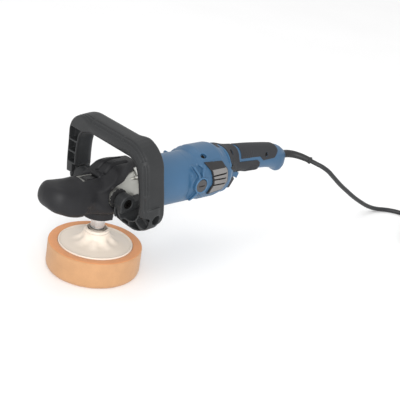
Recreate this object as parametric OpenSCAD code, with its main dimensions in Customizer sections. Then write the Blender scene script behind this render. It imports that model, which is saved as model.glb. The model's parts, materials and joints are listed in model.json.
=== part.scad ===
// Corded rotary polisher with a loop handle, a foam pad and a coiled mains lead.
// +X runs from the nose to the tail, +Z is up along the spindle, millimetres.
// The origin is on the spindle axis, at the centre of the foam pad's working face.

/* [Pad and plate] */
// Diameter of the foam pad
pad_d = 140; // [136:1:142]
// Thickness of the foam pad
pad_t = 41; // [40:0.5:42]
// Diameter of the backing plate
plate_d = 110.6; // [106:0.2:112]
// Height of the top of the plate's hub
hub_z = 64.5; // [62:0.5:66]

/* [Head] */
// Height of the motor axis
axis_z = 123; // [122:0.5:124]
// Outside radius of the spindle barrel of the casting
barrel_r = 21.5; // [21:0.25:22]
// Outside radius of the gear chamber of the casting
chamber_r = 31; // [30.5:0.25:31.5]
// How far the nose of the cover reaches ahead of the spindle
nose_x = 106; // [102:1:108]
// Teeth on the bevel pinion
pinion_teeth = 10; // [10:1:11]
// Teeth on the bevel ring gear
ring_teeth = 38; // [36:1:38]

/* [Motor] */
// Outside radius of the motor housing
motor_r = 39.5; // [39.5:0.1:40]
// Where the motor housing starts
motor_x0 = 48; // [48:0.5:49]
// Outside radius of the wide rear part of the motor housing
wide_r = 43; // [42.5:0.1:43.2]
// Place of the carbon brushes along the axis
brush_x = 157; // [156:0.5:158]
// Radius of the armature core
armature_r = 24.3; // [23.5:0.1:24.4]

/* [Rear handle] */
// Where the handle shells start
shell_x0 = 224; // [223.5:0.5:224.5]
// Wall thickness of the handle shells
shell_wall = 3; // [2.5:0.5:3.5]
// How proud the soft grips stand of the shells
grip_t = 1.2; // [1:0.1:1.4]
// Diameter of the hole for hanging the tool up
hang_d = 6; // [5:0.5:6.5]

/* [Loop handle] */
// Size of the handle bar along the tool
bar_x = 36; // [34:1:37]
// Thickness of the handle bar
bar_t = 27; // [25:0.5:28]
// Lean of the loop towards the nose, degrees
loop_lean = 6; // [4:0.5:8]
// Place of the loop's hinge along the tool
hinge_x = 3; // [2:0.5:4]
// Height of the loop's hinge
hinge_z = 127; // [126:0.5:128]

/* [Cord] */
// Diameter of the mains lead
cord_d = 7.8; // [7.4:0.1:8]
// Mean diameter of the coil's turns
coil_d = 88; // [84:1:92]

/* [Hidden] */
$fn = 72;

pad_r = pad_d / 2;
plate_r = plate_d / 2;
plate_z = pad_t - 3.8;
bevel = pinion_teeth / ring_teeth;
ring_r = 26;
flange_x = motor_x0 - 4;
cord_r = cord_d / 2;
blue = "#5680a4";
dark = "#3c3c3d";
grey = "#565657";
vent_grey = "#8c8a88";
cast_grey = "#b4b4ac";
steel = "#c9c7c4";
copper = "#b8692e";

// ---- helpers ----------------------------------------------------------------
module along_x(x0, x1, r, z = axis_z, y = 0)
    translate([x0, y, z]) rotate([0, 90, 0]) cylinder(h = x1 - x0, r = r);
module along_y(y0, y1, r, x, z)
    translate([x, y0, z]) rotate([-90, 0, 0]) cylinder(h = y1 - y0, r = r);
module along_z(z0, z1, r, x = 0, y = 0)
    translate([x, y, z0]) cylinder(h = z1 - z0, r = r);
module cone_x(x0, x1, r0, r1, z = axis_z)
    translate([x0, 0, z]) rotate([0, 90, 0]) cylinder(h = x1 - x0, r1 = r0, r2 = r1);
module ring_x(x0, x1, ro, ri, z = axis_z)
    difference() { along_x(x0, x1, ro, z); along_x(x0 - 1, x1 + 1, ri, z); }
module box(x0, x1, y0, y1, z0, z1)
    translate([x0, y0, z0]) cube([x1 - x0, y1 - y0, z1 - z0]);
module both_sides() { children(); mirror([0, 1, 0]) children(); }
// A side-view outline, [x, z] points, run from y0 to y1
module side_slab(pts, y0, y1)
    translate([0, y1, 0]) rotate([90, 0, 0]) linear_extrude(y1 - y0) polygon(pts);

// A closed skin over rings of points; each ring turns left about the way forward
module skin(rings) {
    n = len(rings[0]);
    m = len(rings);
    polyhedron(points = [for (r = rings) each r],
        faces = concat([[for (j = [0:n-1]) j]], [[for (j = [n-1:-1:0]) (m-1)*n + j]],
            [for (i = [0:m-2], j = [0:n-1]) [i*n + j, (i+1)*n + j, (i+1)*n + (j+1) % n]],
            [for (i = [0:m-2], j = [0:n-1]) [i*n + j, (i+1)*n + (j+1) % n, i*n + (j+1) % n]]));
}
function unit(v) = v / norm(v);
function power(c, e) = sign(c) * pow(abs(c), 2/e);
function spline_at(a, b, c, d, t) = 0.5 * (2*b + (c-a)*t + (2*a-5*b+4*c-d)*t*t + (3*b-a-3*c+d)*t*t*t);
function smooth(p, k) = let (e = len(p) - 1) concat(
    [for (i = [0:e-1], j = [0:k-1]) spline_at(p[max(i-1, 0)], p[i], p[i+1], p[min(i+2, e)], j/k)],
    [p[e]]);
// Rings of a bar that follows the points p: a across the side direction, b the other way
function bar_rings(p, a, b, side, n, e = 2) = let (m = len(p) - 1) [for (i = [0:m])
    let (t = unit(p[min(i+1, m)] - p[max(i-1, 0)]), u = unit(cross(t, side)), w = cross(t, u))
    [for (j = [0:n-1]) p[i] + (is_list(b) ? b[i] : b) * power(cos(360*j/n), e) * u
        + (is_list(a) ? a[i] : a) * power(sin(360*j/n), e) * w]];
// Rings across the X axis: stations are [x, centre height, half width, half height]
function station_rings(s, grow, n, e) = [for (q = s)
    [for (j = [0:n-1]) [q[0], (q[2] + grow) * power(cos(360*j/n), e),
        q[1] + (q[3] + grow) * power(sin(360*j/n), e)]]];

// ---- spindle and pad --------------------------------------------------------
module foam_pad() color("#df9a6a") difference() {
    rotate_extrude() polygon([[0, 0], [pad_r - 3.5, 0], [pad_r - 1, 3], [pad_r, 7],
        [pad_r, pad_t - 1], [pad_r - 1, pad_t], [0, pad_t]]);
    along_z(plate_z - 1.2, pad_t + 1, plate_r + 0.6);
}
module loop_disc() color("#d8d2c4") along_z(plate_z - 1.2, plate_z, plate_r - 1);
module backing_plate() color("#e4d6c4") difference() {
    union() {
        rotate_extrude() polygon([[0, plate_z], [plate_r, plate_z], [plate_r, pad_t + 0.6],
            [plate_r - 0.8, pad_t + 1.2], [plate_r - 2.6, pad_t + 1.2], [plate_r - 3.8, pad_t + 0.2],
            [42, pad_t + 1.8], [32, pad_t + 4.4], [25, pad_t + 8.4], [20.5, pad_t + 13],
            [17.6, pad_t + 18], [17, hub_z - 1], [16.4, hub_z], [0, hub_z]]);
        for (i = [0:7]) rotate(45 * i) rotate([90, 0, 0]) translate([0, 0, -1.5])
            linear_extrude(3) polygon([[15, pad_t + 2], [36, pad_t + 2], [36, pad_t + 3.6],
                [27, pad_t + 8.8], [21, pad_t + 15], [17, pad_t + 19], [15, pad_t + 19]]);
    }
    along_z(pad_t + 1, hub_z + 1, 11);
    along_z(plate_z - 1, pad_t + 2, 4);
}
module plate_insert() color(steel) difference() {
    along_z(pad_t + 1, hub_z, 11);
    along_z(pad_t + 3, hub_z + 1, 7.02);
}
module spindle() color(steel) difference() {
    union() {
        along_z(pad_t + 5, hub_z + 0.02, 7);
        along_z(hub_z, 88.8, 10.4);
        along_z(88.7, 113, 7.5);
        along_z(112.9, 142.6, 5);
    }
    for (s = [0, 180]) rotate(s) box(8.6, 12, -12, 12, hub_z + 3, 81);
}
module ring_gear() color("#8f8e8b") difference() {
    rotate_extrude() polygon([[7.52, 101.6], [13, 101.6], [13, 105], [ring_r, 108],
        [ring_r, axis_z - ring_r*bevel - 0.25], [17, axis_z - 17*bevel - 0.25], [16, 112],
        [7.52, 112]]);
    for (i = [0:ring_teeth - 1]) rotate((i + 0.5) * 360 / ring_teeth)
        translate([0, 0, axis_z - 0.25]) rotate([0, atan(bevel), 0])
            box(16, 29, -0.75, 0.75, -1.9, 1);
    for (i = [0:3]) rotate(90 * i) along_z(106.5, 113, 2.2, -13.2);
}
module spindle_bearing_lower() color(steel) rotate_extrude() polygon([[7.55, 89], [17.5, 89],
    [17.5, 100], [7.55, 100]]);
module spindle_bearing_upper() color(steel) rotate_extrude() polygon([[5.05, 133], [9, 133],
    [9, 143], [5.05, 143]]);

// ---- head -------------------------------------------------------------------
module casting_solid() {
    rotate_extrude() polygon([[0, 86], [barrel_r, 86], [barrel_r, 97], [chamber_r, 106],
        [chamber_r, 133], [22, 146.5], [12, 149], [0, 149]]);
    box(-43, -11, -10.6, 10.6, 126, 149.4);
    cone_x(0, flange_x, 31, 38);
    along_x(flange_x - 4, motor_x0, 40.5);
    both_sides() along_y(26, 34, 13.5, hinge_x, hinge_z);
}
module gear_housing() color(cast_grey) difference() {
    casting_solid();
    along_z(85, 89, 22.5);
    rotate_extrude() polygon([[0, 88], [17.5, 88], [17.5, 102], [28, 107], [28, 131.5], [19.5, 142.5],
        [11, 145], [11, 131], [9, 131], [9, 143], [0, 143]]);
    along_x(14, 32.1, 12);
    along_x(32, motor_x0 + 1, 16);
    difference() { along_x(flange_x, motor_x0 + 1, 35); along_x(43, motor_x0 + 2, 20); }
    box(-39, -11.2, -8.3, 8.3, 141, 153);
    along_z(130, 142, 3.8, -34);
    both_sides() along_y(22, 37, 4, hinge_x, hinge_z);
    for (a = [45:90:315]) translate([0, 0, axis_z]) rotate([a, 0, 0]) {
        along_x(flange_x - 14, flange_x - 3, 3, 0, 37.7);
        along_x(flange_x - 4, motor_x0 + 1, 1.8, 0, 37.7);
    }
    for (a = [45:90:315]) rotate(a) along_z(88, 94, 1.2, 19.2);
}
module bearing_cover() color("#4a4a4a") difference() {
    along_z(86.4, 89, 21.4);
    along_z(85, 90, 10.8);
    for (a = [45:90:315]) rotate(a) along_z(86, 90, 1.2, 19.2);
    for (a = [45:90:315]) rotate(a) along_z(86, 87.6, 1.8, 19.2);
}
module cover_screws() color(steel) for (a = [45:90:315]) rotate(a) {
    along_z(86.2, 87.6, 1.8, 19.2);
    along_z(87.5, 90.5, 1.2, 19.2);
}
// The hard core of the palm grip in the nose
module nose_core() color("#2b2b2b") difference() {
    hull() both_sides() {
        translate([-nose_x + 24, 9, 129]) sphere(r = 17, $fn = 30);
        translate([-46, 10, 124]) sphere(r = 20, $fn = 30);
    }
    casting_solid();
    box(-28, 60, -60, 60, 60, 180);
}
module cover_solid() {
    hull() both_sides() {
        translate([-nose_x + 21, 10, 130]) sphere(r = 21, $fn = 32);
        translate([-44, 12, 124]) sphere(r = 25, $fn = 32);
    }
    along_z(87.6, 98, 25.5);
    translate([0, 0, 97]) cylinder(h = 9, r1 = 25.5, r2 = 34.5);
    along_z(106, 144, 34.5);
    hull() {
        box(-52, -30, -20, 20, 130, 150);
        box(-30, 6, -26, 26, 130, 153.5);
    }
    hull() {
        translate([6, 0, 146]) rotate([90, 0, 0]) cylinder(h = 56, r = 22, center = true, $fn = 32);
        box(30, 47, -34, 34, 140, 158);
        box(30, 47, -24, 24, 140, 168.5);
    }
}
module head_boot() color(dark) difference() {
    cover_solid();
    casting_solid();
    nose_core();
    side_slab([[6, 80], [6, 140], [44, 160], [44, 162.5], [60, 162.5], [60, 80]], -60, 60);
    both_sides() along_y(24, 50, 15.5, hinge_x, hinge_z);
    box(-41, -16, -10.5, 10.5, 148, 170);
    for (s = [-1, 1]) hull() {
        translate([-8, 12*s, 166]) sphere(r = 4.5, $fn = 16);
        translate([22, 12*s, 172]) sphere(r = 4.5, $fn = 16);
    }
    along_z(80, 88.9, 21.4);
}
module lock_button() color("#1f1f1f") {
    box(-36, -20, -7.6, 7.6, 148.6, 152.8);
    box(-38, -11.4, -7.6, 7.6, 146, 148.7);
    along_z(115.6, 146.1, 1.6, -13.2);
    along_z(137, 146.1, 1.8, -34);
}
// A coil spring that stands on the origin
module spring(r, wire, turns, pitch) skin(bar_rings([for (i = [0:10*turns])
    [r*cos(36*i), r*sin(36*i), wire + pitch*i/10]], wire, wire, [0, 0, 1], 6));
module lock_spring() color(steel) translate([-34, 0, 130.05]) spring(3, 0.5, 6, 2.46);

// ---- loop handle ------------------------------------------------------------
// A point of the loop: across, up from the hinge, offset along the tool
function loop_point(y, h, d = 0) = [hinge_x + (18 + d)*cos(loop_lean) - h*sin(loop_lean), y,
    hinge_z + (18 + d)*sin(loop_lean) + h*cos(loop_lean)];
loop_half = concat([[45, -23.5], [54, -26]], [for (a = [-95:18:-5]) [64.5 + 20*cos(a), -6.7 + 20*sin(a)]],
    [[84, 6], [82.7, 22], [80.5, 40]], [for (a = [5:17:90]) [48 + 30*cos(a), 52 + 30*sin(a)]],
    [[38, 82], [20, 82]]);
loop_path = concat([for (q = loop_half) loop_point(-q[0], q[1])], [loop_point(0, 82)],
    [for (i = [len(loop_half)-1:-1:0]) loop_point(loop_half[i][0], loop_half[i][1])]);
// Half the bar's thickness, less where it curls under to the hinge
function loop_t(q) = bar_t/2 - (q[1] > 0 ? 0 : 7*min(1, max(0, (84 - q[0])/20)));
loop_ts = concat([for (q = loop_half) loop_t(q)], [bar_t/2],
    [for (i = [len(loop_half)-1:-1:0]) loop_t(loop_half[i])]);
module in_loop_frame() translate([hinge_x, 0, hinge_z]) rotate([0, -loop_lean, 0]) children();
module loop_handle() color("#464646") difference() {
    union() {
        skin(bar_rings(loop_path, bar_x/2, loop_ts, [1, 0, 0], 20, 2.8));
        both_sides() along_y(36.3, 60, 13, hinge_x, hinge_z);
        in_loop_frame() both_sides() side_slab([[-12.4, -1.2], [-11.6, -22], [-9, -26.5], [-3, -31], [33, -31],
            [35, -24], [27, -13], [12.4, -1.2]], 41.3, 59.3);
    }
    both_sides() {
        along_y(30, 62, 4.06, hinge_x, hinge_z);
        along_y(49, 70, 7.4, hinge_x, hinge_z);
    }
    in_loop_frame() {
        // The cells face the nose in one leg and the tail in the other
        for (h = [9, 28, 47]) {
            translate([-8, 74.6 - h/12, h]) cube([18, 16, 16.5]);
            translate([26, h/12 - 90.6, h]) cube([18, 16, 16.5]);
        }
        both_sides() {
            translate([20.6, 80, -13.7]) rotate([-90, 0, 0]) cylinder(h = 40, r = 6);
            // The bowl outside the hinge, and the cells around it
            difference() {
                translate([-30, 64.5, -6.7]) rotate([0, 90, 0]) cylinder(h = 90, r = 14);
                translate([-31, 40, -10]) cube([92, 20.2, 40]);
            }
            for (q = [[44, -29.5, 17, 6], [64.5, -30, 11, 6.6], [80.5, -20, 9.5, 13]])
                translate([-20, q[0], q[1]]) cube([32, q[2], q[3]]);
        }
    }
}
module handle_washers() color("#1d1d1d") both_sides() difference() {
    along_y(34, 36, 14.5, hinge_x, hinge_z);
    along_y(33, 37, 4.02, hinge_x, hinge_z);
    for (a = [0:30:330]) translate([hinge_x, 33, hinge_z]) rotate([0, a, 0])
        translate([14.8, 0, 0]) rotate([-90, 0, 0]) cylinder(h = 4, r = 1.6);
}
module handle_bolts() color("#3a3a3a") both_sides() difference() {
    union() {
        along_y(22.5, 49.6, 4, hinge_x, hinge_z);
        along_y(49.2, 57, 6.5, hinge_x, hinge_z);
    }
    translate([hinge_x, 53, hinge_z]) rotate([-90, 0, 0]) cylinder(h = 6, r = 3.4, $fn = 6);
}

// ---- motor ------------------------------------------------------------------
module flange_screws() color(steel) for (a = [45:90:315])
    translate([0, 0, axis_z]) rotate([a, 0, 0]) {
        along_x(flange_x - 6.5, flange_x - 3, 2.6, 0, 37.7);
        along_x(flange_x - 3.1, motor_x0 + 5, 1.8, 0, 37.7);
    }
screw_x = 172;
screw_turn = 32.5;
module vent_outline(d) polygon([[166 + d, 156 - d], [204 - d, 154 - d], [213 - d, 141], [214 - d, 121],
    [204 - d, 108 + d], [176 + d, 104 + d], [177 + d, 112], [181 + d, 123], [177 + d, 143]]);
module vent_slab(d, y0, y1) translate([0, y1, 0]) rotate([90, 0, 0])
    linear_extrude(y1 - y0) vent_outline(d);
module wide_solid() {
    cone_x(142, 150, 39, wide_r, 125.5);
    along_x(150, 204, wide_r, 125.5);
    cone_x(204, shell_x0, wide_r, 39, 125.5);
}
module motor_housing() color(blue) difference() {
    union() {
        along_x(motor_x0, 150, motor_r);
        wide_solid();
        both_sides() along_y(30, 44.5, 13.5, brush_x, axis_z);
    }
    along_x(motor_x0 - 1, 142, 36.8);
    difference() {
        along_x(141.9, shell_x0 + 1, 37, 124.5);
        along_x(166, 167.5, 40, 124.5);
        along_x(166, 176, 14);
        for (a = [0:90:270]) translate([0, 0, axis_z]) rotate([a, 0, 0]) box(166, 176, -3, 3, 0, 40);
    }
    along_x(165, 168, 8);
    along_x(168, 177, 11);
    for (a = [45:90:315]) translate([0, 0, axis_z]) rotate([a, 0, 0]) translate([160, 26, 0])
        rotate([0, 90, 0]) cylinder(h = 12, r = 8);
    both_sides() {
        along_y(12, 41.6, 8.5, brush_x, axis_z);
        along_y(41.5, 46, 10.5, brush_x, axis_z);
        for (z = [112, 122, 132, 142]) box(186, 203, 30, 50, z, z + 5);
    }
    box(212.8, 219.2, -9.4, 9.4, 146, 175);
    for (s = [-1, 1]) translate([0, 0, 125.5]) rotate([screw_turn*s, 0, 0]) {
        along_z(39.4, 60, 4.6, screw_x);
        along_z(30, 60, 1.8, screw_x);
    }
    for (a = [45:90:315]) translate([0, 0, axis_z]) rotate([a, 0, 0])
        along_x(motor_x0 - 1, motor_x0 + 5, 1.8, 0, 37.7);
}
module housing_screws() color(steel) for (s = [-1, 1])
    translate([0, 0, 125.5]) rotate([screw_turn*s, 0, 0]) difference() {
        union() { along_z(39.4, 41.2, 3.2, screw_x); along_z(31, 39.5, 1.8, screw_x); }
        box(screw_x - 0.5, screw_x + 0.5, -4, 4, 40.6, 42);
    }
module stator_core() color("#77746e") difference() {
    along_x(78, 128, 36.8);
    difference() {
        along_x(77, 129, 31);
        box(70, 130, -16, 16, axis_z - 40, axis_z + 40);
    }
    along_x(77, 129, 25);
}
module field_coils() color(copper) difference() {
    union() {
        ring_x(70, 77.8, 33, 26);
        ring_x(128.2, 136, 33, 26);
        ring_x(77.7, 128.3, 30.9, 26);
    }
    box(77.8, 128.2, -16, 16, axis_z - 40, axis_z + 40);
}
module fan_baffle() color("#2c2c2c") ring_x(64, 67, 36.8, 27);
module armature_shaft() color(steel) {
    along_x(31, 44.1, 6);
    along_x(44, 166.1, 7);
    along_x(166, 176, 4);
}
module slots(n, x0, x1, ri, ro, w) for (i = [0:n-1]) translate([0, 0, axis_z]) rotate([i*360/n, 0, 0])
    box(x0, x1, -w/2, w/2, ri, ro);
module armature_core() color("#6d6a66") difference() {
    along_x(79, 127, armature_r);
    along_x(78, 128, 7);
    slots(12, 78, 128, 14, 30, 2);
}
module armature_windings() color(copper) {
    intersection() { slots(12, 79, 127, 14, 30, 2); along_x(79, 127, armature_r - 1); }
    ring_x(68, 79, 21, 7);
    ring_x(127, 138, 21, 7);
}
module commutator() color(copper) difference() {
    ring_x(147, 165, 14, 7);
    slots(24, 146, 164, 13.2, 16, 0.6);
}
module fan() color("#2a2a2a") difference() {
    union() {
        along_x(50, 52, 33);
        along_x(50, 62, 11);
        for (i = [0:12]) translate([0, 0, axis_z]) rotate([i*360/13, 0, 0])
            box(51.9, 61, -0.9, 0.9, 14, 32);
    }
    along_x(49, 63, 7);
}
module pinion() color("#8f8e8b") difference() {
    union() {
        cone_x(15.5, 27, 15.5*bevel - 0.25, 27*bevel - 0.25);
        along_x(26.9, 31, 6.2);
    }
    for (i = [0:pinion_teeth - 1]) translate([0, 0, axis_z]) rotate([(i + 0.5)*360/pinion_teeth, 0, 0])
        rotate([0, -atan(bevel), 0]) box(14, 27, -0.6, 0.6, -1.5, 2);
}
module motor_bearing_front() color(steel) ring_x(32.2, 42, 16, 6.05);
module motor_bearing_rear() color(steel) ring_x(168, 175, 11, 4.05);
module brush_holders() color("#7a5a2e") both_sides() difference() {
    along_y(17.5, 41.5, 8.5, brush_x, axis_z);
    box(brush_x - 3.2, brush_x + 3.2, 17, 42, axis_z - 5.7, axis_z + 5.7);
}
module carbon_brushes() color("#2a2a2c") both_sides() difference() {
    box(brush_x - 3.2, brush_x + 3.2, 10, 28, axis_z - 5.7, axis_z + 5.7);
    along_x(140, 170, 14.3);
}
module brush_springs() color(steel) both_sides()
    translate([brush_x, 28.1, axis_z]) rotate([-90, 0, 0]) spring(2.4, 0.45, 5, 2.45);
module brush_caps() color(vent_grey) both_sides() difference() {
    along_y(41.6, 45.2, 10.4, brush_x, axis_z);
    box(brush_x - 6, brush_x + 6, 43.8, 46, axis_z - 1, axis_z + 1);
}
module vent_cover() difference() {
    intersection() {
        union() {
            along_x(150, 204, wide_r + 3.4, 125.5);
            cone_x(204, 216, wide_r + 3.4, wide_r + 0.4, 125.5);
        }
        vent_slab(0, 20, 60);
    }
    wide_solid();
    along_y(20, 60, 13.6, brush_x, axis_z);
    for (z = [120.4, 129.2, 136])
        side_slab([[179, z - 1], [205, z - 1.3], [205, z + 0.7], [179, z + 1]], 20, 60);
}
module vent_cover_left() color(vent_grey) vent_cover();
module vent_cover_right() color(vent_grey) mirror([0, 1, 0]) vent_cover();

// ---- controls ---------------------------------------------------------------
dial_z = 159;
module speed_module() color("#26302a") {
    box(190, 209, -13, 13, 138, 158.8);
    along_x(208.9, 220.5, 2, dial_z);
}
module speed_dial() color("#222222") difference() {
    along_x(213.3, 218.7, 9, dial_z);
    along_x(212, 220, 2.05, dial_z);
    for (i = [0:19]) translate([0, 0, dial_z]) rotate([i*18, 0, 0]) box(212, 220, -0.4, 0.4, 8.5, 10);
}
module switch_body() color("#2f2f31") {
    box(262, 292, -9, 9, 121, 142);
    box(256, 262.1, -4, 4, 124, 130);
}
trigger_hinge = [232, 112];
module trigger_side(d) polygon([[228 - d, 117 + d], [228 - d, 102 - d], [233, 94 - d],
    [252 + d, 91.5 - d], [260.5 + d, 105], [255.5 + d, 113 + d], [246, 117 + d]]);
module trigger() color(grey) difference() {
    translate([0, 14.5, 0]) rotate([90, 0, 0]) linear_extrude(29) trigger_side(0);
    along_y(-20, 20, 2.05, trigger_hinge[0], trigger_hinge[1]);
}
module trigger_pin() color(steel) along_y(-18.5, 18.5, 2, trigger_hinge[0], trigger_hinge[1]);
module lock_on_button() color("#242424") {
    along_y(-36.5, -26, 4, 229, 139);
    along_y(-27, -24, 5.4, 229, 139);
}

// ---- rear handle ------------------------------------------------------------
// [x, centre height, half width, half height]
handle_stations = [[shell_x0, 125.5, 39, 39], [233, 127.5, 33.5, 34.5], [243, 131.5, 25, 28.5],
    [254, 134.5, 20, 24.5], [266, 135.5, 18, 22.5], [290, 134.5, 17.5, 21.7], [320, 132, 18, 20.8],
    [345, 129, 18.5, 20.5], [358, 126, 18.5, 21.2], [369, 121, 17, 22.8], [379, 119, 13.5, 18.5],
    [386, 121, 8, 11]];
module handle_solid(grow) skin(station_rings(handle_stations, grow, 28, 2.3));
// The lip behind the trigger and its two cheeks
module hook() side_slab([[239.5, 129], [246.5, 124.5], [262, 118], [266.5, 116.5], [263, 107.3], [257, 110.8],
    [249, 112], [242.5, 118]], -17.6, 17.6);
module handle_hollow() skin(station_rings(concat([handle_stations[0] - [2, 0, 0, 0]],
    [for (i = [1:len(handle_stations) - 2]) handle_stations[i]]), -shell_wall, 28, 2.3));
screw_spots = [[240.5, 155.5], [325, 140]];
module handle_shell(side) color(blue) difference() {
    intersection() {
        union() { handle_solid(0); hook(); }
        box(200, 400, side > 0 ? 0 : -60, side > 0 ? 60 : 0, 60, 190);
    }
    difference() {
        handle_hollow();
        for (q = screw_spots) along_y(-60, 60, 5.5, q[0], q[1]);
        box(372, 400, -60, 60, 90, 116);
        both_sides() box(228, 236, 15.5, 40, 107, 117);
    }
    translate([0, 15, 0]) rotate([90, 0, 0]) linear_extrude(30) trigger_sweep();
    for (q = screw_spots) {
        along_y(-60, 10, 1.8, q[0], q[1]);
        along_y(-60, -9, 3.6, q[0], q[1]);
    }
    along_y(-60, -20, 4.1, 229, 139);
    along_y(-18.5, 18.5, 2, trigger_hinge[0], trigger_hinge[1]);
    along_y(-60, 60, hang_d/2, 376, 107);
    along_x(371, 400, 5.6, exit_z);
}
// Room for the trigger at every angle of its travel
module trigger_sweep() for (a = [0, 4, 8]) translate(trigger_hinge) rotate(a)
    translate(-trigger_hinge) trigger_side(0.6);
module handle_shell_left() handle_shell(1);
module handle_shell_right() handle_shell(-1);
module soft_panel(outline, y1 = 60) difference() {
    intersection() {
        handle_solid(grip_t);
        side_slab(outline, -60, y1);
    }
    handle_solid(0);
    hook();
    for (q = screw_spots) along_y(-60, 0, 3.6, q[0], q[1]);
    along_y(-60, -20, 4.1, 229, 139);
    translate([0, 15, 0]) rotate([90, 0, 0]) linear_extrude(30) trigger_sweep();
}
module lower_grip() color(grey) soft_panel([[224.3, 190], [224.3, 150], [228, 140], [234, 133],
    [241, 129.5], [247, 124.6], [252, 119.7], [266, 117.4], [270, 108], [272, 90], [314, 90],
    [312, 128], [305, 133.5], [262, 136.5], [259, 144], [257, 190]]);
module upper_grip() color(grey) soft_panel([[263, 190], [264.5, 141.5], [310, 138.5], [319, 130.5],
    [345, 131.5], [354, 142], [358, 190]]);
module shell_screws() color(steel) for (q = screw_spots) {
    along_y(-11.4, -9, 3.4, q[0], q[1]);
    along_y(-9.1, 8, 1.8, q[0], q[1]);
}

// ---- cord -------------------------------------------------------------------
exit_x = 386;
exit_z = 124.5;
// Nine turns of the lead, three beside each other in three layers
coil_spot = [602, -210];
coil_h = 24;
coil_x = coil_spot[0] + coil_d/2 + coil_h/2 + cord_r;
sleeve_route = [[exit_x, 0, exit_z], [396, -1, 124.5], [406, -6, 124], [414, -14, 123],
    [420, -24, 121.5], [425, -34, 119.5]];
lead_route = [[425, -34, 119.5], [430, -44, 117], [437, -52, 113.5], [448, -58, 106], [463, -60, 94],
    [488, -60, 75], [513, -60, 58], [539, -60, 41], [565, -60, 26], [585, -60.5, 15.5], [603, -62.5, 8.2],
    [618, -66.5, 4.7], [631, -73.5, cord_r], [642, -84.5, cord_r], [650, -99, cord_r],
    [655, -118, cord_r], [658.6, -142, cord_r], [coil_x - 1, -168, cord_r], [coil_x, -192, cord_r],
    [coil_x, -210, cord_r]];
module cord_clamp() color("#2b2b2b") {
    difference() { box(364, 372, -8, 8, 116.5, 132.5); along_x(360, 380, cord_r, exit_z); }
}
module cord_tube(route, k) color("#3a3a3b")
    skin(bar_rings(smooth(route, k), cord_r, cord_r, [0, 0, 1], 10));
module strain_relief() color("#2c2c2d") {
    skin(let (p = smooth(sleeve_route, 3), r = [for (i = [0:15]) 6.8 - 1.6*i/15 + (i > 13 ? 0.9 : 0)])
        bar_rings(p, r, r, [0, 0, 1], 16));
    along_x(372, exit_x, 5.6, exit_z);
}
module cord_lead() cord_tube(lead_route, 3);
module cord_coil() color("#3a3a3b") translate([coil_spot[0], coil_spot[1], 0]) rotate_extrude()
    translate([(coil_d - coil_h)/2, 0]) polygon([[2, 0], [coil_h - 2, 0], [coil_h, 2],
        [coil_h, coil_h - 2], [coil_h - 2, coil_h], [2, coil_h], [0, coil_h - 2], [0, 2]]);
module cord_tie() color("#1b1b1b") translate([coil_spot[0], coil_spot[1] - coil_d/2, 0]) difference() {
    box(-4, 4, -coil_h/2 - 1.2, coil_h/2 + 1.6, 0, coil_h + 1.2);
    box(-5, 5, -coil_h/2, coil_h/2 + 0.4, -1, coil_h);
}
// The last stretch lies on the coil and runs into the plug, which lies on the coil too
plug_x = 598;
plug_y = coil_spot[1] + coil_d/2;
plug_z = coil_h + 9;
tail_route = concat([for (a = [190:-15:130]) [coil_spot[0] + coil_d/2*cos(a),
    coil_spot[1] + coil_d/2*sin(a), coil_h + cord_r]],
    [[plug_x - 16, plug_y - 3.5, plug_z - 3.4], [plug_x - 8.5, plug_y - 0.4, plug_z - 0.8],
    [plug_x - 4, plug_y, plug_z], [plug_x, plug_y, plug_z]]);
module cord_tail() cord_tube(tail_route, 3);
module plug_body() color("#2c2c2d") {
    along_x(plug_x, plug_x + 18, 6, plug_z, plug_y);
    hull() {
        box(plug_x + 16, plug_x + 18, plug_y - 6, plug_y + 6, plug_z - 6, plug_z + 6);
        box(plug_x + 26, plug_x + 44, plug_y - 17, plug_y + 17, plug_z - 9, plug_z + 7);
    }
}
module plug_pins() color("#c8a050") for (s = [-9.5, 9.5])
    along_x(plug_x + 44, plug_x + 63, 2.4, plug_z, plug_y + s);

foam_pad();
loop_disc();
backing_plate();
plate_insert();
spindle();
ring_gear();
spindle_bearing_lower();
spindle_bearing_upper();
gear_housing();
bearing_cover();
cover_screws();
nose_core();
head_boot();
lock_button();
lock_spring();
loop_handle();
handle_washers();
handle_bolts();
flange_screws();
motor_housing();
stator_core();
field_coils();
fan_baffle();
armature_shaft();
armature_core();
armature_windings();
commutator();
fan();
pinion();
motor_bearing_front();
motor_bearing_rear();
brush_holders();
carbon_brushes();
brush_springs();
brush_caps();
vent_cover_left();
vent_cover_right();
housing_screws();
speed_module();
speed_dial();
switch_body();
trigger();
trigger_pin();
lock_on_button();
handle_shell_left();
handle_shell_right();
upper_grip();
lower_grip();
shell_screws();
cord_clamp();
strain_relief();
cord_lead();
cord_coil();
cord_tie();
cord_tail();
plug_body();
plug_pins();
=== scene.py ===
# The looks of the corded rotary polisher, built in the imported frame.
# Lengths are millimetres unless said otherwise.
import json
import math

import bpy
import numpy as np
from mathutils import Matrix

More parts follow.
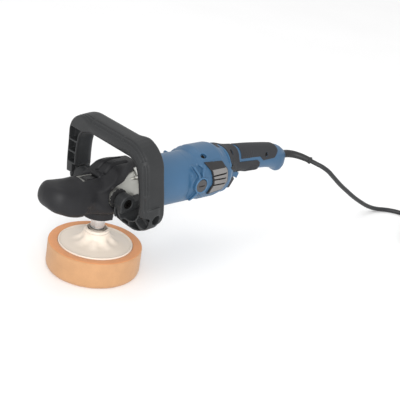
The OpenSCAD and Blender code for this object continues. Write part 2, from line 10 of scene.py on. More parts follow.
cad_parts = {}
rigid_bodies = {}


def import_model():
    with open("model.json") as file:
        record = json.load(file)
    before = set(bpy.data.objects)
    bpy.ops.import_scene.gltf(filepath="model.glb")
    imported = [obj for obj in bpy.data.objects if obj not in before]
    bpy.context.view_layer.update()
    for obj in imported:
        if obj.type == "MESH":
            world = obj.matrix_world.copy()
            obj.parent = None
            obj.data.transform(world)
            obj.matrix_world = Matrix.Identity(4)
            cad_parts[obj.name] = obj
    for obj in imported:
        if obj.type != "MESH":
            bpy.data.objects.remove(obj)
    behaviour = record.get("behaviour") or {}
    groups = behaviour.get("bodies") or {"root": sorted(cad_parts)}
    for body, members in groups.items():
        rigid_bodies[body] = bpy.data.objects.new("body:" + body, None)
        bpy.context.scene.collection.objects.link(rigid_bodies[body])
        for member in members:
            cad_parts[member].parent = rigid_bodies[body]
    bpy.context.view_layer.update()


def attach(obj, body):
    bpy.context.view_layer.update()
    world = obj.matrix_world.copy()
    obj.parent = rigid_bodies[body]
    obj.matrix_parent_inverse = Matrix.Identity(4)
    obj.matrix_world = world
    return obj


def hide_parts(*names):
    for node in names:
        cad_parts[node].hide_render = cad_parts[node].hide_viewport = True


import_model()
MM = 0.001


# ---- shape helpers ----------------------------------------------------------
def smin(a, b, k):
    """The smaller of two distances, blended over a width of about k."""
    h = np.clip(0.5 + 0.5 * (b - a) / k, 0, 1)
    return b * (1 - h) + a * h - k * h * (1 - h)


def smax(a, b, k):
    """The larger of two distances, blended over a width of about k."""
    return -smin(-a, -b, k)


def box(x, y, z, lo, hi, r=0.0):
    """Distance to a rounded box from its lowest and highest corners."""
    q = [np.abs(v - (a + b) / 2) - (b - a) / 2 + r for v, a, b in zip((x, y, z), lo, hi)]
    out = np.sqrt(sum(np.maximum(v, 0) ** 2 for v in q))
    return out + np.minimum(np.maximum(np.maximum(q[0], q[1]), q[2]), 0) - r


def rod(u, v, w, r, w0, w1, e=0.0):
    """Distance to a rounded cylinder about the w axis."""
    d = np.sqrt(u * u + v * v) - r + e
    t = np.abs(w - (w0 + w1) / 2) - (w1 - w0) / 2 + e
    return np.minimum(np.maximum(d, t), 0) + np.hypot(np.maximum(d, 0), np.maximum(t, 0)) - e


def curve(x, points):
    """A smooth line through the points, flat beyond its ends."""
    px, py = np.array(points, float).T
    slope = np.gradient(py, px)
    x = np.clip(x, px[0], px[-1])
    i = np.clip(np.searchsorted(px, x, side="right") - 1, 0, len(px) - 2)
    h = px[i + 1] - px[i]
    t = (x - px[i]) / h
    return (
        (2 * t**3 - 3 * t**2 + 1) * py[i]
        + (t**3 - 2 * t**2 + t) * h * slope[i]
        + (3 * t**2 - 2 * t**3) * py[i + 1]
        + (t**3 - t**2) * h * slope[i + 1]
    )


def step(x, a, b):
    """A smooth rise from 0 at a to 1 at b."""
    t = np.clip((x - a) / (b - a), 0, 1)
    return t * t * (3 - 2 * t)


def outline(u, v, points):
    """Signed distance to a polygon, negative inside."""
    best = np.full(np.broadcast(u, v).shape, 1e9)
    inside = np.zeros(best.shape, bool)
    for (ax, ay), (bx, by) in zip(points, points[1:] + points[:1]):
        ex, ey = bx - ax, by - ay
        t = np.clip(((u - ax) * ex + (v - ay) * ey) / (ex * ex + ey * ey), 0, 1)
        best = np.minimum(best, np.hypot(u - ax - t * ex, v - ay - t * ey))
        if ey:
            inside ^= ((v >= ay) != (v >= by)) & (u < ax + (v - ay) / ey * ex)
    return np.where(inside, -best, best)


def line(u, v, points):
    """Distance to an open line, with how far along and on which side the nearest point is."""
    best = np.full(np.broadcast(u, v).shape, 1e9)
    along, side, done = np.zeros(best.shape), np.zeros(best.shape), 0.0
    for (ax, ay), (bx, by) in zip(points[:-1], points[1:]):
        ex, ey = bx - ax, by - ay
        size = math.hypot(ex, ey)
        t = np.clip(((u - ax) * ex + (v - ay) * ey) / (size * size), 0, 1)
        d = np.hypot(u - ax - t * ex, v - ay - t * ey)
        near = d < best
        best = np.where(near, d, best)
        along = np.where(near, done + t * size, along)
        side = np.where(near, np.sign(ex * (v - ay) - ey * (u - ax)), side)
        done += size
    return best, along, side


def surface(name, field, lo, hi, pitch, place=None):
    """A smooth mesh of the zero surface of field, by surface nets, pulled onto the surface."""
    axes = [np.arange(a - pitch, b + 2 * pitch, pitch) for a, b in zip(lo, hi)]
    n = [len(a) for a in axes]
    g = np.broadcast_to(field(axes[0][:, None, None], axes[1][None, :, None], axes[2][None, None, :]), n)
    ids, where, faces = [], [], []
    for axis in range(3):
        u, v = [a for a in range(3) if a != axis]
        m = np.moveaxis(g, axis, 0)
        a, b = m[:-1, 1:-1, 1:-1], m[1:, 1:-1, 1:-1]
        i, j, k = np.nonzero((a < 0) != (b < 0))
        fa, fb = a[i, j, k], b[i, j, k]
        j, k = j + 1, k + 1
        point = np.zeros((len(i), 3))
        point[:, axis], point[:, u], point[:, v] = i + fa / (fa - fb), j, k
        corner = []
        for dj, dk in ((-1, -1), (0, -1), (0, 0), (-1, 0)):
            cell = np.zeros((len(i), 3), np.int64)
            cell[:, axis], cell[:, u], cell[:, v] = i, j + dj, k + dk
            corner.append((cell[:, 0] * n[1] + cell[:, 1]) * n[2] + cell[:, 2])
            ids.append(corner[-1])
            where.append(point)
        corner = np.stack(corner, 1)
        turned = (fa < 0) == (axis == 1)
        corner[turned] = corner[turned][:, ::-1]
        faces.append(corner)
    ids, where, faces = np.concatenate(ids), np.concatenate(where), np.concatenate(faces)
    cells, index = np.unique(ids, return_inverse=True)
    count = np.bincount(index)
    co = np.stack([np.bincount(index, where[:, c]) / count for c in range(3)], 1)
    co = np.array([a[0] for a in axes]) + co * pitch
    faces = np.searchsorted(cells, faces)
    e = pitch * 0.05
    for _ in range(3):
        value = field(*co.T)
        grad = np.stack([(field(*(co + d).T) - field(*(co - d).T)) / (2 * e) for d in np.eye(3) * e], 1)
        move = -value[:, None] * grad / np.maximum((grad**2).sum(1), 0.05)[:, None]
        size = np.linalg.norm(move, axis=1)
        co += move * np.minimum(1, 0.4 * pitch / np.maximum(size, 1e-9))[:, None]
    if place is not None:
        co = place(co)
    return mesh(name, co, faces)


def mesh(name, points, faces, smooth=True):
    """A mesh object from millimetre points."""
    data = bpy.data.meshes.new(name)
    data.from_pydata((np.asarray(points, float) * MM).tolist(), [], [list(map(int, f)) for f in faces])
    data.validate()
    data.update()
    if smooth:
        data.polygons.foreach_set("use_smooth", [True] * len(data.polygons))
    obj = bpy.data.objects.new(name, data)
    bpy.context.collection.objects.link(obj)
    return obj


def spin(name, profile, turns=160, bump=None):
    """A closed profile of [radius, height] points turned about Z; both ends lie on the axis."""
    points, faces = [[0, 0, profile[0][1]], [0, 0, profile[-1][1]]], []
    rings = profile[1:-1]
    for r, z in rings:
        for j in range(turns):
            a = 2 * math.pi * j / turns
            s = r + (bump(a, z) if bump else 0)
            points.append([s * math.cos(a), s * math.sin(a), z])
    for j in range(turns):
        k = (j + 1) % turns
        faces.append([0, 2 + k, 2 + j])
        last = 2 + (len(rings) - 1) * turns
        faces.append([1, last + j, last + k])
        for i in range(len(rings) - 1):
            a, b = 2 + i * turns, 2 + (i + 1) * turns
            faces.append([a + j, a + k, b + k, b + j])
    return mesh(name, points, faces)


def tube(name, path, radii, sides=20, bore=None):
    """A round tube along path; radii is one radius or one for each point. With bore it is hollow."""
    path = np.array(path, float)
    radii = np.broadcast_to(radii, len(path))
    ahead = np.gradient(path, axis=0)
    ahead /= np.linalg.norm(ahead, axis=1)[:, None]
    side = np.cross(ahead[0], [0, 0, 1.0])
    rings, frames = [], []
    for t in ahead:
        side = side - t * side.dot(t)
        side = side / np.linalg.norm(side)
        frames.append((side, np.cross(t, side)))
    angle = 2 * np.pi * np.arange(sides) / sides
    for p, r, (s, w) in zip(path, radii, frames):
        rings.append(p + r * (np.cos(angle)[:, None] * s + np.sin(angle)[:, None] * w))
    if bore:
        for p, (s, w) in zip(path[::-1], frames[::-1]):
            rings.append(p + bore * (np.cos(angle)[:, None] * s + np.sin(angle)[:, None] * w))
    points = np.concatenate(rings)
    m = len(rings)
    faces = []
    for i in range(m if bore else m - 1):
        ring = i * sides
        next_ring = (i + 1) % m * sides
        for j in range(sides):
            k = (j + 1) % sides
            faces.append([ring + j, ring + k, next_ring + k, next_ring + j])
    if not bore:
        faces += [list(range(sides))[::-1], [(m - 1) * sides + j for j in range(sides)]]
    return mesh(name, points, faces)


def smooth_path(points, pieces):
    """A Catmull-Rom line through the points, each stretch cut into that many pieces."""
    p = np.array(points, float)
    p = np.vstack([p[:1], p, p[-1:]])
    t = (np.arange(pieces) / pieces)[:, None]
    out = [
        0.5 * (2 * b + (c - a) * t + (2 * a - 5 * b + 4 * c - d) * t**2 + (3 * b - a - 3 * c + d) * t**3)
        for a, b, c, d in zip(p[:-3], p[1:-2], p[2:-1], p[3:])
    ]
    return np.vstack(out + [p[-1:]])


# ---- materials --------------------------------------------------------------
def linear(c):
    """One colour channel from 0 to 255, as linear light from 0 to 1."""
    c = c / 255
    return c / 12.92 if c <= 0.04045 else ((c + 0.055) / 1.055) ** 2.4


def colour(c, gain=1.0):
    return (*[min(1.0, linear(v) * gain) for v in c], 1.0)


def material(
    name, rgb, rough=0.5, metal=0.0, spread=0.1, patch=25, grain=900, bump=0.15, wear=0.0,
    stretch=(1, 1, 1), sheen=0.0, shine=0.5,
):
    """Moulded, cast or turned stuff: patchy colour, a fine grain in relief, and rubbed edges."""
    m = bpy.data.materials.new(name)
    m.use_nodes = True
    t = m.node_tree
    n, link = t.nodes, t.links.new
    shader = n["Principled BSDF"]
    shader.inputs["Metallic"].default_value = metal
    shader.inputs["Specular IOR Level"].default_value = shine
    shader.inputs["Sheen Weight"].default_value = sheen
    where = n.new("ShaderNodeTexCoord")
    scale = n.new("ShaderNodeMapping")
    scale.inputs["Scale"].default_value = stretch
    link(where.outputs["Object"], scale.inputs["Vector"])
    patches = n.new("ShaderNodeTexNoise")
    patches.inputs["Scale"].default_value = patch
    patches.inputs["Detail"].default_value = 5
    link(scale.outputs["Vector"], patches.inputs["Vector"])
    tone = n.new("ShaderNodeValToRGB")
    tone.color_ramp.elements[0].position = 0.3
    tone.color_ramp.elements[1].position = 0.7
    tone.color_ramp.elements[0].color = colour(rgb, 1 - spread)
    tone.color_ramp.elements[1].color = colour(rgb, 1 + spread)
    link(patches.outputs["Fac"], tone.inputs["Fac"])
    last = tone.outputs["Color"]
    if wear:
        shape = n.new("ShaderNodeNewGeometry")
        edge = n.new("ShaderNodeValToRGB")
        edge.color_ramp.elements[0].position = 0.52
        edge.color_ramp.elements[1].position = 0.62
        edge.color_ramp.elements[0].color = (0, 0, 0, 1)
        edge.color_ramp.elements[1].color = (wear, wear, wear, 1)
        link(shape.outputs["Pointiness"], edge.inputs["Fac"])
        mix = n.new("ShaderNodeMix")
        mix.data_type = "RGBA"
        link(edge.outputs["Color"], mix.inputs["Factor"])
        link(last, mix.inputs["A"])
        mix.inputs["B"].default_value = colour([min(255, v * 1.5 + 30) for v in rgb])
        last = mix.outputs["Result"]
    link(last, shader.inputs["Base Color"])
    fine = n.new("ShaderNodeTexNoise")
    fine.inputs["Scale"].default_value = grain
    fine.inputs["Detail"].default_value = 3
    link(scale.outputs["Vector"], fine.inputs["Vector"])
    band = n.new("ShaderNodeMapRange")
    band.inputs["To Min"].default_value = rough - 0.08
    band.inputs["To Max"].default_value = rough + 0.08
    link(fine.outputs["Fac"], band.inputs["Value"])
    link(band.outputs["Result"], shader.inputs["Roughness"])
    relief = n.new("ShaderNodeBump")
    relief.inputs["Strength"].default_value = bump
    relief.inputs["Distance"].default_value = 0.0004
    link(fine.outputs["Fac"], relief.inputs["Height"])
    link(relief.outputs["Normal"], shader.inputs["Normal"])
    return m


def foam(name, rgb, pores):
    """Cut open-cell foam: small pits and a soft edge."""
    m = material(name, rgb, rough=0.95, spread=0.05, patch=60, grain=1500, bump=0.3, sheen=0.15)
    t = m.node_tree
    n, link = t.nodes, t.links.new
    where = next(a for a in n if a.bl_idname == "ShaderNodeTexCoord")
    shader = n["Principled BSDF"]
    holes = n.new("ShaderNodeTexVoronoi")
    holes.inputs["Scale"].default_value = pores
    link(where.outputs["Object"], holes.inputs["Vector"])
    pit = n.new("ShaderNodeValToRGB")
    pit.color_ramp.elements[0].position = 0.05
    pit.color_ramp.elements[1].position = 0.45
    pit.color_ramp.elements[0].color = (0.78, 0.78, 0.78, 1)
    pit.color_ramp.elements[1].color = (1, 1, 1, 1)
    link(holes.outputs["Distance"], pit.inputs["Fac"])
    mix = n.new("ShaderNodeMix")
    mix.data_type = "RGBA"
    mix.blend_type = "MULTIPLY"
    mix.inputs["Factor"].default_value = 0.6
    tone = shader.inputs["Base Color"].links[0].from_socket
    link(tone, mix.inputs["A"])
    link(pit.outputs["Color"], mix.inputs["B"])
    link(mix.outputs["Result"], shader.inputs["Base Color"])
    relief = n.new("ShaderNodeBump")
    relief.inputs["Strength"].default_value = 0.4
    relief.inputs["Distance"].default_value = 0.0005
    link(holes.outputs["Distance"], relief.inputs["Height"])
    link(shader.inputs["Normal"].links[0].from_socket, relief.inputs["Normal"])
    link(relief.outputs["Normal"], shader.inputs["Normal"])
    return m


boot_m = material(
    "boot_rubber", (30, 30, 32), shine=0.25, rough=0.52, spread=0.14, patch=18, grain=1400, bump=0.25,
    wear=0.25,
)
handle_m = material(
    "handle_nylon", (41, 42, 43), shine=0.25, rough=0.5, spread=0.12, patch=16, grain=1700, bump=0.35,
    wear=0.3,
)
blue_m = material(
    "motor_blue", (50, 88, 120), rough=0.42, spread=0.07, patch=14, grain=1500, bump=0.18, wear=0.3,
)
grip_m = material(
    "soft_grip", (48, 49, 52), shine=0.25, rough=0.68, spread=0.1, patch=20, grain=1900, bump=0.4,
    wear=0.2,
)
vent_m = material(
    "vent_bars", (118, 116, 115), rough=0.55, spread=0.08, patch=30, grain=1500, bump=0.2, wear=0.3,
)
cap_m = material("cap_grey", (48, 47, 48), rough=0.55, spread=0.08, patch=40, grain=1500, bump=0.2, wear=0.3)
cast_m = material(
    "cast_aluminium", (176, 176, 170), rough=0.42, metal=0.75, spread=0.12, patch=40, grain=800,
    bump=0.35, wear=0.3,
)
steel_m = material(
    "brushed_steel", (205, 203, 200), rough=0.26, metal=1.0, spread=0.14, patch=20, grain=500,
    bump=0.15, stretch=(1, 1, 14),
)
gear_m = material(
    "gear_steel", (120, 118, 114), rough=0.4, metal=1.0, spread=0.14, patch=60, grain=900, bump=0.2,
)
black_m = material(
    "black_plastic", (26, 26, 27), rough=0.5, spread=0.15, patch=30, grain=1500, bump=0.2, wear=0.2,
)
core_m = material("core_plastic", (28, 28, 29), rough=0.6, spread=0.15, patch=30, grain=1200, bump=0.2)
copper_m = material(
    "wound_copper", (184, 106, 50), rough=0.38, metal=0.9, spread=0.2, patch=200, grain=700, bump=0.4,
    stretch=(3, 1, 1),
)
iron_m = material(
    "laminated_iron", (118, 114, 108), rough=0.5, metal=0.8, spread=0.2, patch=30, grain=400, bump=0.4,
    stretch=(8, 1, 1),
)
carbon_m = material("carbon", (42, 42, 45), rough=0.6, spread=0.2, patch=80, grain=1500, bump=0.3)
board_m = material("coated_board", (40, 60, 48), rough=0.5, spread=0.2, patch=90, grain=900, bump=0.3)
brass_m = material("brass", (200, 160, 84), rough=0.3, metal=1.0, spread=0.1, patch=60, grain=700, bump=0.15)
pile_m = material(
    "loop_pile", (216, 210, 196), rough=0.95, spread=0.12, patch=300, grain=1800, bump=0.8, sheen=0.3,
)
plate_m = material(
    "plate_ivory", (232, 219, 204), rough=0.4, spread=0.03, patch=20, grain=1200, bump=0.12, wear=0.1,
)
cord_m = material("cord_jacket", (34, 35, 37), rough=0.5, spread=0.12, patch=40, grain=1600, bump=0.3)
# One foam in two tones that stand for painted light and shade: the top rim lighter and more orange, the side
# duller and darker
foam_m = foam("polish_foam", (186, 142, 102), 850)
foam_top_painted_light_m = foam("polish_foam_top_painted_light", (222, 152, 100), 850)
screw_m = material(
    "black_screws", (34, 32, 31), rough=0.4, metal=0.8, spread=0.15, patch=60, grain=900, bump=0.2,
)
dark_m = material("seam_shadow", (34, 33, 34), rough=0.7, spread=0.15, patch=60, grain=1500, bump=0.3)


def dress(obj, mat, body="housing", stands_for=()):
    """Gives a new piece its material and its body, and hides the CAD nodes that it replaces."""
    obj.data.materials.clear()
    obj.data.materials.append(mat)
    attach(obj, body)
    if stands_for:
        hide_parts(*stands_for)
    return obj


# ---- head cover -------------------------------------------------------------
# Height of the motor's axis, the loop handle's hinge, and how far the loop leans to the nose
AXIS_Z = 123.0
HINGE_X, HINGE_Z = 3.0, 127.0
LEAN = math.radians(6)


def casting(x, y, z):
    """The outside of the gear casting, which the head cover fits over."""
    r = np.hypot(x, y)
    wall = np.interp(z, [86, 97, 106, 133, 146.5, 149], [21.5, 21.5, 31, 31, 22, 12])
    f = np.maximum((r - wall) * 0.8, np.abs(z - 117.5) - 31.5)
    f = np.minimum(f, box(x, y, z, (-43, -10.6, 126), (-11, 10.6, 149.4)))
    ring = np.hypot(y, z - AXIS_Z)
    f = np.minimum(f, np.maximum(ring - 31 - 7 * np.clip(x / 44, 0, 1), np.abs(x - 22) - 22))
    f = np.minimum(f, np.maximum(ring - 40.5, np.abs(x - 44) - 4))
    return np.minimum(f, rod(x - HINGE_X, z - HINGE_Z, np.abs(y), 13.5, 26, 34))


def core(x, y, z):
    """The palm grip's hard core: a slanted capsule that widens backwards, 19 mm wider than high."""
    t = np.clip(((x + 82) * 36 - (z - 129) * 5) / (36**2 + 5**2), 0, 1)
    d = np.sqrt((x + 82 - 36 * t) ** 2 + (z - 129 + 5 * t) ** 2 + np.maximum(np.abs(y) - 9.5, 0) ** 2)
    return d - 17 - 3 * t


def nose_core(x, y, z):
    """The part of that core that lies in front of the casting."""
    return np.maximum(np.maximum(core(x, y, z), -casting(x, y, z)), x + 28)


# Outlines of the nose along x: top, how far the top falls 26 mm out, bottom, and half its width
TOP = [
    (-104.5, 137), (-103, 140), (-99.5, 145), (-94, 149), (-88, 151), (-75, 152), (-55, 151.3),
    (-30, 151), (6, 151), (50, 151),
]
CROWN = [(-104, 1), (-96, 4), (-85, 8), (-70, 12), (-61, 12.5), (-49, 10.5), (-34, 8.5), (-13, 10), (50, 10)]
BOTTOM = [
    (-104.5, 131), (-101, 124.5), (-97, 120.5), (-90, 115), (-79, 109), (-65, 105.5), (-50, 104.5),
    (-30, 104), (50, 104),
]
WIDTH = [
    (-104.5, 5), (-102, 10.5), (-97.5, 16), (-90, 22.5), (-79, 29.5), (-62, 34), (-45, 33.5),
    (-30, 33.5), (-15, 34.5), (50, 34.5),
]
# The hump behind the lock button: its top and half its width
HUMP_TOP = [
    (-26, 144), (-20, 147), (-13, 152), (-4, 158.5), (5, 166.5), (13, 168.8), (30, 169.6), (50, 169.8),
]
HUMP_WIDTH = [(-26, 30.5), (5, 30.5), (12, 29), (20, 25.5), (28, 22), (38, 19.5), (48, 18.5)]
# The cover's rear edge, from the hinge up over the cone
REAR = [(-6, 142.5), (2, 146), (14, 149), (21, 152), (28, 155.2), (37, 157.2), (45.5, 158)]


def cover(x, y, z):
    """The rubber cover's outside, with its openings but not its hollow."""
    a = np.abs(y)
    raised = 0.7 * np.exp(-((a / 15) ** 6)) * step(x, -52, -45) * step(-x, 4, 14)
    top = curve(x, TOP) - curve(x, CROWN) * (a / 26) ** 2 + raised
    width = curve(x, WIDTH)
    side = (a - width + 0.25 * step(x, -92, -66) * np.maximum(z - 114, 0)) * 0.92
    nose = smax(smax(z - top, side, 4 + 9 * step(-x, 78, 96)), curve(x, BOTTOM) - z, 11)
    nose = smax(nose, -104 - x, 8)
    nose = smin(nose, core(x, y, z) - 1.2, 6)
    nose = smax(nose, x + 4, 6)
    r = np.hypot(x, y)
    drum = smax(r - 34.5, z - (151 - 9.5 * (a / 26) ** 2), 10)
    barrel = np.interp(z, [80, 97, 106, 160], [25.5, 25.5, 34.5, 34.5])
    drum = np.maximum(drum, np.maximum((r - barrel) * 0.85, 87.6 - z))
    f = smin(nose, drum, 7)
    pit = np.sqrt((x + 38) ** 2 + (a - 35) ** 2 + ((z - 110) * 0.9) ** 2) - 8
    f = smax(f, -pit, 9)
    channels = 3.6 * np.exp(-(((a - 8.5) / 2.9) ** 4)) * step(x, -8, -3) * step(-x, -34, -30)
    hump_top = curve(x, HUMP_TOP) - 3 * (a / 20) ** 2 - channels
    hump_side = (a - curve(x, HUMP_WIDTH) + 0.3 * np.maximum(z - 150, 0)) * 0.95
    hump = smax(smax(z - hump_top, hump_side, 3.5), np.abs(x - 12) - 38, 4)
    hump = smax(hump, 138 - z, 4)
    f = smin(f, hump, 3)
    f = smin(f, box(x, y, z, (-16.5, -11, 146), (-7, 11, 155), 2), 1.5)
    # The rear edge goes around the hinge and up over the cone, with a rolled lip
    edge = line(x, z, [(4.5, 90), (4.5, 112)] + REAR)[0]
    f = f - 1.3 * np.exp(-((edge / 2.6) ** 4))
    away = outline(x, z, [(5.5, 60), (5.5, 118), (-7, 136)] + REAR + [(45.5, 190), (90, 190), (90, 60)])
    f = smax(f, -away, 1.0)
    f = smax(f, -rod(x - HINGE_X, z - HINGE_Z, a, 15.6, 20, 60), 1.2)
    f = smax(f, -box(x, y, z, (-43.4, -9.4, 147.5), (-16.6, 10.8, 175), 1.2), 0.8)
    return f


def boot_field(x, y, z):
    """The cover, hollowed for the casting, the hard core and the spindle."""
    f = smax(cover(x, y, z), -casting(x, y, z) + 0.25, 0.6)
    f = np.maximum(f, -nose_core(x, y, z) + 0.2)
    return np.maximum(f, -rod(x, y, z, 21.4, 80, 88.9))


boot = surface("head_cover", boot_field, (-108, -37, 87), (48, 37, 170), 0.9)
dress(boot, boot_m, stands_for=["head_boot"])


def button_field(x, y, z):
    """The spindle lock's button with its base plate and two pins."""
    f = box(x, y, z, (-35.5, -6.2, 147), (-21, 6.2, 150.7), 1.0)
    for c in (-31, -28, -25):
        f = smax(f, -(np.hypot(x - c, z - 151) - 0.8), 0.4)
    f = np.minimum(f, box(x, y, z, (-38, -7.6, 146), (-11.4, 7.6, 148.7), 0.3))
    lock_pin = rod(x + 13.2, y, z, 1.6, 115.6, 146.5)
    guide_pin = rod(x + 34, y, z, 1.8, 137, 146.5)
    return np.minimum(f, np.minimum(lock_pin, guide_pin))


button = surface("lock_button_looks", button_field, (-38, -8, 115), (-11, 8, 151), 0.5)
dress(button, black_m, body="spindle_lock", stands_for=["lock_button"])

# ---- loop handle ------------------------------------------------------------
# Middle of the round bowl at the foot of each leg, in the handle's own frame
BOWL_Y, BOWL_Z = 64.5, -6.7


def arc(centre, radius, start, end, count):
    """Points along a round stretch between two angles in degrees."""
    points = []
    for degrees in np.linspace(start, end, count):
        a = math.radians(degrees)
        points.append((centre[0] + radius * math.cos(a), centre[1] + radius * math.sin(a)))
    return points


# The middle line of half the handle, from under the bowl up to the top of the loop
HALF = [(45.0, -23.5), (54.0, -26.0)]
HALF += arc((BOWL_Y, BOWL_Z), 20, -95, -5, 9)
HALF += [(84.3, 0), (84, 6), (83.4, 14), (82.6, 23), (81.5, 32), (80.3, 41), (78.9, 49)]
HALF += arc((48, 51.2), 30.3, 6, 90, 10)
HALF += [(38, 81.4), (20, 81.4), (0, 81.4)]
# The foot that curls under to the hinge, and the neck of the boss on the hinge bolt
FOOT = [
    (41.3, 2), (41.3, -20.5), (44, -24.5), (53, -28), (63, -31), (72, -33), (80, -33.2), (87, -31),
    (93, -26.5), (97, -19), (97.8, -8), (97.6, 6), (71, 6), (60, 2),
]
BOSS = [(-12.6, 0), (-12.9, -12), (-12, -22), (12, -22), (12.6, 0)]


def loop_field(x, y, z):
    """In the handle's own frame: x along the tool, z up from the hinge."""
    a = np.abs(y)
    d, along, side = line(a, z, HALF)
    half = 13.5 - 2.6 * step(-z, -78, -32) * step(a, 60, 75) - 7 * step(84 - a, 0, 20) * step(-z, -2, 4)
    # Each leg is rounded on one side and squarer on the side with the cells, which is
    # the front of the far one and the back of the near one
    depth = np.where(y < 0, 36 - x, x)
    f = smax(np.abs(x - 18) - 18, d - half, 15 - 11 * step(a, 35, 60) * step(-depth, -14, -4))
    outer = np.where(side < 0, 1.0, 0.0) * step(d, 2, 5)
    dash = step(np.abs((along + 9) % 45 - 22.5), 21, 20) * step(along, 52, 56)
    for c in (-14.4, -10.6):
        f = f + 0.9 * np.exp(-(((x - 18 - c) / 0.9) ** 2)) * outer * dash
    # The end that curls under to the hinge has a flat front, which slants back towards the bar
    front = -10 + 0.26 * (a - 41.3)
    foot_edge = outline(a, z, FOOT)
    foot = smax(foot_edge, np.maximum(front - x, x - 30), np.interp(a, [76, 90], [1.5, 11]))
    f = smin(f, foot, 1.5)
    boss = np.minimum(np.hypot(x, z) - 12.9, outline(x, z, BOSS))
    body = smax(boss, np.abs(a - 49.6) - 8.4, 1.2)
    f = smin(f, body, 1.5)
    bowl_r = np.hypot(a - BOWL_Y, z - BOWL_Z)
    bowl = smax(bowl_r - 14, -smax(a - 58, -z - 11.5, 1), 1)
    f = smax(f, -bowl, 1.2)
    f = smax(f, -rod(x, z, a, 4.06, 30, 63), 0.3)
    f = smax(f, -rod(x, z, a, 7.0, 49, 80), 1.2)
    for low, high in ((9, 25.5), (28, 44.5), (47, 68)):
        cell = smax(smax(np.abs(z - (low + high) / 2) - (high - low) / 2, d - half + 2.6, 2), depth - 11, 2)
        f = smax(f, -cell, 0.8)
    f = smax(f, -rod(x - 19.8, z + 13.7, a, 7.2, 80, 120), 0.8)
    # Three cells open to the front around the bowl, parted by ribs that point at its middle
    turn_by = np.degrees(np.arctan2(z - BOWL_Z, a - BOWL_Y))
    gap = np.maximum(np.maximum(16.2 - bowl_r, foot_edge + 2.4), x - front - 13)
    rib = np.minimum(np.abs(turn_by + 90), np.abs(turn_by + 46)) * 0.35 - 1.3
    gap = smax(smax(gap, -rib, 1.2), np.maximum(43.6 - a, turn_by + 4), 1)
    return smax(f, -gap, 0.6)


def loop_place(co):
    """Moves points from the handle's own frame to the tool's, with the loop leaning to the nose."""
    out = co.copy()
    out[:, 0] = HINGE_X + co[:, 0] * math.cos(LEAN) - co[:, 2] * math.sin(LEAN)
    out[:, 2] = HINGE_Z + co[:, 0] * math.sin(LEAN) + co[:, 2] * math.cos(LEAN)
    return out


loop = surface("loop_grip", loop_field, (-14, -98, -48), (38, 98, 97), 1.0, loop_place)
dress(loop, handle_m, body="loop_handle", stands_for=["loop_handle"])

# ---- motor housing ----------------------------------------------------------
# Height of the wide part's axis, the middle of the brush caps, and how far the four flange
# screws are from the motor's axis, both sideways and in height
WIDE_Z = 125.5
BRUSH_X, BRUSH_Z = 157, 124
FLANGE_SCREW = 26.66
# The edge of a vent cover by x and z, and where the wide part starts, as height and x
VENT = [
    (166, 156), (204, 154), (213, 141), (214, 121), (204, 108), (176, 104), (177, 112), (181, 123),
    (177, 143),
]
FRONT = [
    (78, 178), (98, 170), (109, 161), (124, 157), (139, 160), (147, 165), (150, 161), (153, 157),
    (156, 155), (162, 154.5), (170, 154.5),
]


def wide(x, y, z):
    """The wide rear part of the motor housing."""
    ahead = x - curve(z, FRONT)
    ramp = step(z, 149, 161)
    grown = 6.7 * step(ahead, -4.4 + 3.4 * ramp, 0.2 + 15 * ramp)
    limit = 36.3 + grown - 4 * np.clip((x - 204) / 20, 0, 1)
    limit = limit + 1.3 * step(z, 155.5, 158.5) * step(ahead, 1, 5) * step(-x, -216, -208)
    return np.hypot(y, z - WIDE_Z) - limit


# Ribs above and below the brush cap
RIBS = [
    [(145.5, 151), (152.2, 140), (152.6, 136)],
    [(166, 152), (160, 141.5), (160.4, 136)],
    [(152.6, 112), (152.2, 108), (147, 97)],
    [(160.4, 112), (161, 107.5), (170, 98)],
]


def housing_outer(x, y, z):
    a = np.abs(y)
    tube_r = np.hypot(y, z - AXIS_Z)
    hollow = 1.6 * np.exp(-(((x - 140) / 4.5) ** 2)) * step(a, 24, 34)
    hollow = hollow * step(z, 88, 98) * step(-z, -146, -138)
    f = smax(np.maximum(tube_r - 39.5 + hollow, 48 - x), x - 172, 1)
    w = smax(wide(x, y, z), np.abs(x - 184) - 40, 0.8)
    f = smin(f, w, 2.0)
    for points in RIBS:
        rib = smax(line(x, z, points)[0] - 1.7, np.abs(np.hypot(y, z - 125.0) - 41) - 4.3, 1.3)
        f = smin(f, np.maximum(rib, 20 - a), 1.2)
    ring = rod(x - BRUSH_X, z - BRUSH_Z, a, 13.2, 30, 46.0, 0.9)
    return smin(f, ring, 1.0)


